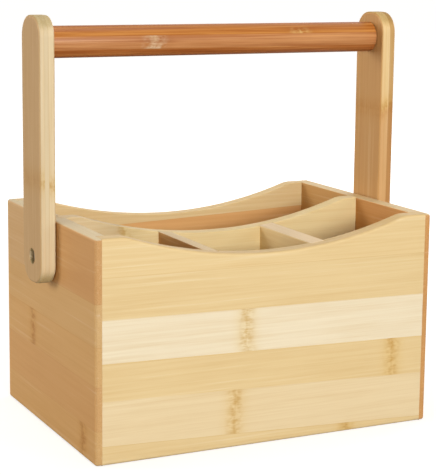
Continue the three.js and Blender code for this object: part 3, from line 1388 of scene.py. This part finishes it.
@dataclass
class Handle:
    """The swinging handle: two arms and the rod.

    Attributes:
        pivot_height: height of the pivots above the table.
        inner: from the middle to the inner face of an arm.
        outer: from the middle to its outer face.
        half_arm: half an arm's width.
        bottom: lower end of the arms.
        top: upper end of the arms.
        rod_radius: radius of the rod.
        rod_height: height of the rod's axis.
        rod_end: from the middle to the end of the rod's tenon.
        end_radius: rounding of the arms' corners, seen from the side.
        edge_radius: rounding of their edges.
        counterbore_radius: radius of the recess for a screw's head.
        counterbore_depth: its depth.
        screw_hole_radius: radius of the hole for a screw's shoulder.
        tenon_radius: radius of the rod's tenons.
        gap: clearance between the rod and the arms.
        ply: thickness of an arm's ply, as a share of the arm's.
        over: how far a drill goes on past the wood.
        mouth_ease: easing of the counterbore's mouth.
        rod_ease: easing of the rod's corners.
        round_sides: facets round a turned form.
        corner_steps: facets of an arm's corner.
        edge_steps: facets of an arm's edge.
    """

    pivot_height: float
    inner: float
    outer: float
    half_arm: float
    bottom: float
    top: float
    rod_radius: float
    rod_height: float
    rod_end: float
    end_radius: float = 14.5 * MM
    edge_radius: float = 1.8 * MM
    counterbore_radius: float = 5.2 * MM
    counterbore_depth: float = 5.2 * MM
    screw_hole_radius: float = 3.8 * MM
    tenon_radius: float = 7 * MM
    gap: float = 0.3 * MM
    ply: float = 0.29
    over: float = 2 * MM
    mouth_ease: float = 0.3 * MM
    rod_ease: float = 0.5 * MM
    round_sides: int = 64
    corner_steps: int = 14
    edge_steps: int = 5

    @classmethod
    def measured(cls) -> "Handle":
        """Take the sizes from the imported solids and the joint.

        Returns:
            The handle.
        """
        pivot = next(joint for joint in frame["joints"] if joint["name"] == "handle_swing")["pos_m"]
        low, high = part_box("right_arm")
        rod_low, rod_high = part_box("handle_rod")
        return cls(pivot_height=pivot[2], inner=low.x, outer=high.x, half_arm=high.y,
                   bottom=low.z, top=high.z, rod_radius=rod_high.y,
                   rod_height=(rod_low.z + rod_high.z) / 2, rod_end=rod_high.x)

    def arm(self, side: Side) -> bpy.types.Object:
        """Build an upright with rounded ends, drilled for its screw and for the rod's tenon.

        Args:
            side: on which side of the box it stands.

        Returns:
            The arm.
        """
        piece = Workpiece(f"{side.word}_upright")
        inner, outer = side.value * self.inner, side.value * self.outer
        low = Vector((inner, -self.half_arm, self.bottom))
        high = Vector((inner, self.half_arm, self.top))
        piece.rectangle(Axis.Y, Axis.Z, low, high)
        piece.thicken(Axis.X, [(outer, always)])
        piece.round_off(self.end_radius, lambda edge: abs(edge.verts[0].co.x - edge.verts[1].co.x) > MM,
                        self.corner_steps)
        made = piece.object(lambda _: self.edge_radius, self.edge_radius, self.edge_steps)
        made.modifiers[0].harden_normals = False
        drilled(made, self.drills(side))
        return made

    def drills(self, side: Side) -> list[bpy.types.Object]:
        """Shape an arm's holes: the screw's, counterbored with an eased mouth, and the tenon's blind one.

        Args:
            side: which arm they are for.

        Returns:
            The screw's drill and the tenon's.
        """
        start, end = self.inner - self.over, self.outer + self.over
        seat = self.outer - self.counterbore_depth
        screw_hole = [
            (0.0, start),
            (self.screw_hole_radius, start),
            (self.screw_hole_radius, seat),
            (self.counterbore_radius, seat),
            (self.counterbore_radius, self.outer - self.mouth_ease),
            (self.counterbore_radius + self.mouth_ease + self.over, end),
            (0.0, end),
        ]
        radius, floor = self.tenon_radius + self.gap, self.rod_end + self.gap
        tenon_hole = [(0.0, start), (radius, start), (radius, floor), (0.0, floor)]
        drills = []
        for name, profile, height in (("screw_drill", screw_hole, self.pivot_height),
                                      ("tenon_drill", tenon_hole, self.rod_height)):
            drill = Workpiece(name)
            drill.lathe(profile, height, self.round_sides, side)
            drills.append(drill.object())
        return drills

    def rod(self) -> bpy.types.Object:
        """Build the round rod, with an eased shoulder and a tenon at each end.

        Returns:
            The rod.
        """
        piece = Workpiece("round_rod")
        shoulder = self.inner - self.gap
        half = [
            *eased(self.rod_radius, shoulder, self.rod_ease),
            (self.tenon_radius, shoulder),
            (self.tenon_radius, self.rod_end - self.rod_ease),
            (self.tenon_radius - self.rod_ease, self.rod_end),
            (0.0, self.rod_end),
        ]
        profile = [(radius, -place) for radius, place in reversed(half)] + half
        piece.lathe(profile, self.rod_height, self.round_sides)
        return piece.object()

    def arm_finish(self, side: Side) -> Bamboo:
        """Lay up an arm's plies.

        Args:
            side: which arm it is.

        Returns:
            The arm's finish.
        """
        plies = PLIES[side]
        low = min(side.value * self.inner, side.value * self.outer)
        pitch = (self.outer - self.inner) * self.ply
        strips = tuple(Strip(low + number * pitch, tone, ring * MM, tinted(tone, plies.upper_tone))
                       for number, (tone, ring) in enumerate(zip(plies.tones, plies.rings)))
        # The arms' top ends are darkened by end_tone, partly the end grain's own tone and partly painted
        # shade against the top light.
        return Bamboo(f"{side.word}_arm_bamboo", Axis.Z, Axis.X, strips, streaks=0.6,
                      flank_tone=plies.face_tone, high_face_tone=plies.right_face_tone,
                      end_tone=(0.72, 0.71, 0.60), even_flanks=True)

    def rod_finish(self) -> Bamboo:
        """Choose the rod's darker bamboo.

        Returns:
            The rod's finish.
        """
        bottom = self.rod_height - self.rod_radius
        ring = Ring(tone=(1.5, 2.7, 5.2), halo_tone=(0.80, 0.70, 0.58), reach=12 * MM)
        # Painted highlight and shade: the paler middle band stands for the highlight along the rod, and the
        # darker bands at the bottom and top partly for its shade.
        return Bamboo("rod_bamboo", Axis.X, Axis.Z, glued(
            (-5, BURNT, NO_RING),
            (5.5, CHESTNUT, -51),
            (14.5, COPPER, 62),
            (18.5, CARAMEL, NO_RING),
            start=bottom,
        ), streaks=2.4, streak_tone=(0.72, 0.58, 0.46), pale_tone=(0.68, 0.35, 0.13), ring=ring,
            gloss=0.34, shine=0.18)

    def build(self) -> None:
        """Make and dress the arms and the rod."""
        for side in Side:
            finish = self.arm_finish(side)
            dress(self.arm(side), f"{side.word}_arm", Body.HANDLE, finish.material())
        dress(self.rod(), "handle_rod", Body.HANDLE, self.rod_finish().material())


@dataclass
class Pivots:
    """The two shoulder screws.

    Attributes:
        tip: from the middle to the tip of a screw.
        face: from the middle to the face of its head.
        height: height of its axis.
        head: radius of its head.
        head_thickness: thickness of the head.
        shoulder: radius of the smooth shoulder that the arm turns on.
        shoulder_length: length of the shoulder.
        thread: radius of the threaded end.
        socket_depth: depth of the hexagon socket.
        socket_width: its width between two flats.
        flats: number of its flats.
        ease: easing of the head's rim.
        over: how far the key that cuts the socket stands out of it.
        sides: facets round a screw.
    """

    tip: float
    face: float
    height: float
    head: float
    head_thickness: float = 2.2 * MM
    shoulder: float = 3.5 * MM
    shoulder_length: float = 6.2 * MM
    thread: float = 2.25 * MM
    socket_depth: float = 1.6 * MM
    socket_width: float = 4.5 * MM
    flats: int = 6
    ease: float = 0.6 * MM
    over: float = 1 * MM
    sides: int = 48

    @classmethod
    def measured(cls) -> "Pivots":
        """Take the sizes from a packed screw.

        Returns:
            The screws.
        """
        low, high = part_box("right_pivot_screw")
        return cls(tip=low.x, face=high.x, height=(low.z + high.z) / 2, head=high.y)

    def screw(self, side: Side) -> bpy.types.Object:
        """Build a shoulder screw with a hexagon socket.

        Args:
            side: at which end of the box it sits.

        Returns:
            The screw.
        """
        piece = Workpiece(f"{side.word}_shoulder_screw")
        seat = self.face - self.head_thickness
        start = seat - self.shoulder_length
        profile = [
            (0.0, self.tip),
            (self.thread / 2, self.tip),
            (self.thread, self.tip + self.thread),
            (self.thread, start),
            (self.shoulder, start),
            (self.shoulder, seat),
            (self.head, seat),
            *eased(self.head, self.face, self.ease),
            (0.0, self.face),
        ]
        piece.lathe(profile, self.height, self.sides, side)
        made = piece.object()
        key = Workpiece("hexagon_key")
        floor, top = self.face - self.socket_depth, self.face + self.over
        corner = self.socket_width / math.sqrt(3)
        key.lathe([(0.0, floor), (corner, floor), (corner, top), (0.0, top)], self.height, self.flats, side)
        drilled(made, [key.object()])
        return made

    def build(self) -> None:
        """Make and dress both screws."""
        steel = Steel().material()
        for side in Side:
            dress(self.screw(side), f"{side.word}_pivot_screw", Body.BOX, steel)


@dataclass(frozen=True)
class FloorPaint:
    """White paint of the studio floor, with a glow that only the camera sees.

    Attributes:
        shade: share of the light that the paint throws back.
        near_glow: strength of the glow beside the object.
        far_glow: its strength far from the object.
        near: distance from the middle at which it begins to grow.
        far: distance at which it has grown.
    """

    shade: Colour = (0.50, 0.50, 0.50)
    near_glow: float = 0.68
    far_glow: float = 0.95
    near: float = 0.15
    far: float = 0.9

    def material(self) -> bpy.types.Material:
        """Build the material.

        Returns:
            The material.
        """
        made, graph = new_material("white_floor")
        x, y, _ = graph.place()
        away = graph.math("SQRT", x * x + y * y).ramped(self.near, self.far)
        seen = graph.value(graph.node("ShaderNodeLightPath"), "Is Camera Ray")
        paint = graph.node("ShaderNodeBsdfDiffuse", inputs={"Color": (*self.shade, 1.0)})
        glows = [graph.node("ShaderNodeEmission", inputs={"Color": (*WHITE, 1.0), "Strength": strength})
                 for strength in (self.near_glow, self.far_glow)]
        glow = graph.blend(away, *glows)
        lit = graph.node("ShaderNodeAddShader", inputs={0: paint.outputs[0], 1: glow.outputs[0]})
        both = graph.blend(seen, paint, lit)
        graph.node("ShaderNodeOutputMaterial", inputs={"Surface": both.outputs[0]})
        return made


@dataclass(frozen=True)
class Sky:
    """Even light from all round, which the camera and shiny surfaces see as white.

    Attributes:
        soft: the light that it throws on dull surfaces.
    """

    soft: Colour = (0.188, 0.135, 0.086)

    def build(self) -> None:
        """Give the scene its surroundings."""
        world = bpy.data.worlds.new("studio")
        bpy.context.scene.world = world
        world.use_nodes = True
        graph = Graph(world.node_tree)
        path = graph.node("ShaderNodeLightPath")
        names = ("Is Camera Ray", "Is Glossy Ray", "Is Transmission Ray")
        seen = graph.math("MINIMUM", sum((graph.value(path, name) for name in names), start=0.0), 1.0)
        soft, white = (graph.node("ShaderNodeBackground", inputs={"Color": (*colour, 1.0), "Strength": 1.0})
                       for colour in (self.soft, WHITE))
        both = graph.blend(seen, soft, white)
        graph.node("ShaderNodeOutputWorld", inputs={"Surface": both.outputs[0]})


@dataclass(frozen=True)
class Lamp:
    """Square soft light.

    Attributes:
        name: its name.
        place: where it stands.
        size: length of its sides.
        level: how much it lights a white surface that faces it at its target.
        colour: its colour.
    """

    name: str
    place: tuple[float, float, float]
    size: float
    level: float
    colour: Colour = (1.0, 0.98, 0.95)

    def light(self, target: Vector) -> None:
        """Add the lamp to the scene.

        Args:
            target: the point that it faces.
        """
        data = bpy.data.lights.new(self.name, "AREA")
        lamp = bpy.data.objects.new(self.name, data)
        bpy.context.scene.collection.objects.link(lamp)
        away = Vector(self.place) - target
        lamp.location = self.place
        lamp.rotation_euler = away.to_track_quat("Z", "Y").to_euler()
        data.size = self.size
        data.color = self.colour
        # A lamp of power P lights a surface that faces it by P / (pi * distance squared), and a white
        # surface shows that light over pi.
        data.energy = self.level * math.pi ** 2 * away.length_squared


LAMPS = (
    Lamp("key_light", (-0.28, -2.38, 0.76), 0.60, 0.70, (1.0, 0.985, 0.96)),
    Lamp("side_light", (-1.86, 1.07, 0.58), 0.90, 0.52),
    Lamp("far_side_light", (1.80, 0.90, 0.62), 0.90, 0.42),
    Lamp("fill_light", (1.05, -2.10, 0.62), 0.40, 0.10),
    Lamp("top_light", (0.0, 0.10, 1.70), 0.80, 0.40, (1.0, 0.94, 0.84)),
)


@dataclass
class Studio:
    """Floor, light and camera.

    Attributes:
        aim: point that the lens axis passes.
        lit: point that the lamps face.
        azimuth: direction of the camera round Z, 0 at the front.
        elevation: its height above the horizon.
        roll: its turn about the lens axis.
        distance: from the aim to the camera.
        focal: focal length in pixels of the photograph.
        axis: pixel at which the lens axis meets the photograph.
        picture: width and height of the photograph in pixels.
        sensor: width of the camera's sensor, in millimetres.
        nearest: distance from which the camera sees.
        floor_reach: half the width of the floor.
        floor_level: height of the floor, a hair below the box's feet.
    """

    aim: Vector
    lit: Vector
    azimuth: float = math.radians(-25.26)
    elevation: float = math.radians(9.224)
    roll: float = math.radians(0.457)
    distance: float = 1.0065
    focal: float = 1493.4
    axis: tuple[float, float] = (190.3, 200.6)
    picture: tuple[int, int] = (436, 475)
    sensor: float = 36.0
    nearest: float = 0.05
    floor_reach: float = 9.0
    floor_level: float = -0.05 * MM

    def camera(self) -> None:
        """Put the camera at the photograph's viewpoint."""
        data = bpy.data.cameras.new("portrait_camera")
        camera = bpy.data.objects.new("portrait_camera", data)
        bpy.context.scene.collection.objects.link(camera)
        bpy.context.scene.camera = camera
        level = math.cos(self.elevation)
        right = Vector((math.cos(self.azimuth), math.sin(self.azimuth), 0.0))
        back = Vector((right.y * level, -right.x * level, math.sin(self.elevation)))
        turn = Matrix((right, back.cross(right), back)).transposed() @ Matrix.Rotation(self.roll, 3, "Z")
        camera.matrix_world = Matrix.Translation(self.aim + back * self.distance) @ turn.to_4x4()
        width, height = self.picture
        data.sensor_width = self.sensor
        data.lens = self.focal / height * self.sensor
        data.shift_x = (width / 2 - self.axis[0]) / height
        data.shift_y = (self.axis[1] - height / 2) / height
        data.clip_start = self.nearest

    def floor(self) -> None:
        """Lay a wide white floor, longer behind the object, which keeps the object's shadow."""
        piece = Workpiece("studio_floor")
        reach = self.floor_reach
        low = Vector((-reach, -reach, self.floor_level))
        high = Vector((reach, 2 * reach, self.floor_level))
        piece.rectangle(Axis.X, Axis.Y, low, high)
        floor = piece.object()
        floor.data.materials.append(FloorPaint().material())

    def build(self) -> None:
        """Set up the whole studio."""
        self.camera()
        self.floor()
        Sky().build()
        for lamp in LAMPS:
            lamp.light(self.lit)
        bpy.context.scene.view_settings.view_transform = "Standard"


def main() -> None:
    """Build the holder and its studio."""
    logging.basicConfig(level=logging.INFO, format="%(message)s")
    Studio(aim=Vector((-37.75, -40.40, 160.31)) * MM, lit=Vector((0.0, 0.0, 120.0)) * MM).build()
    Box.measured().build()
    Handle.measured().build()
    Pivots.measured().build()


if __name__ == "__main__":
    main()
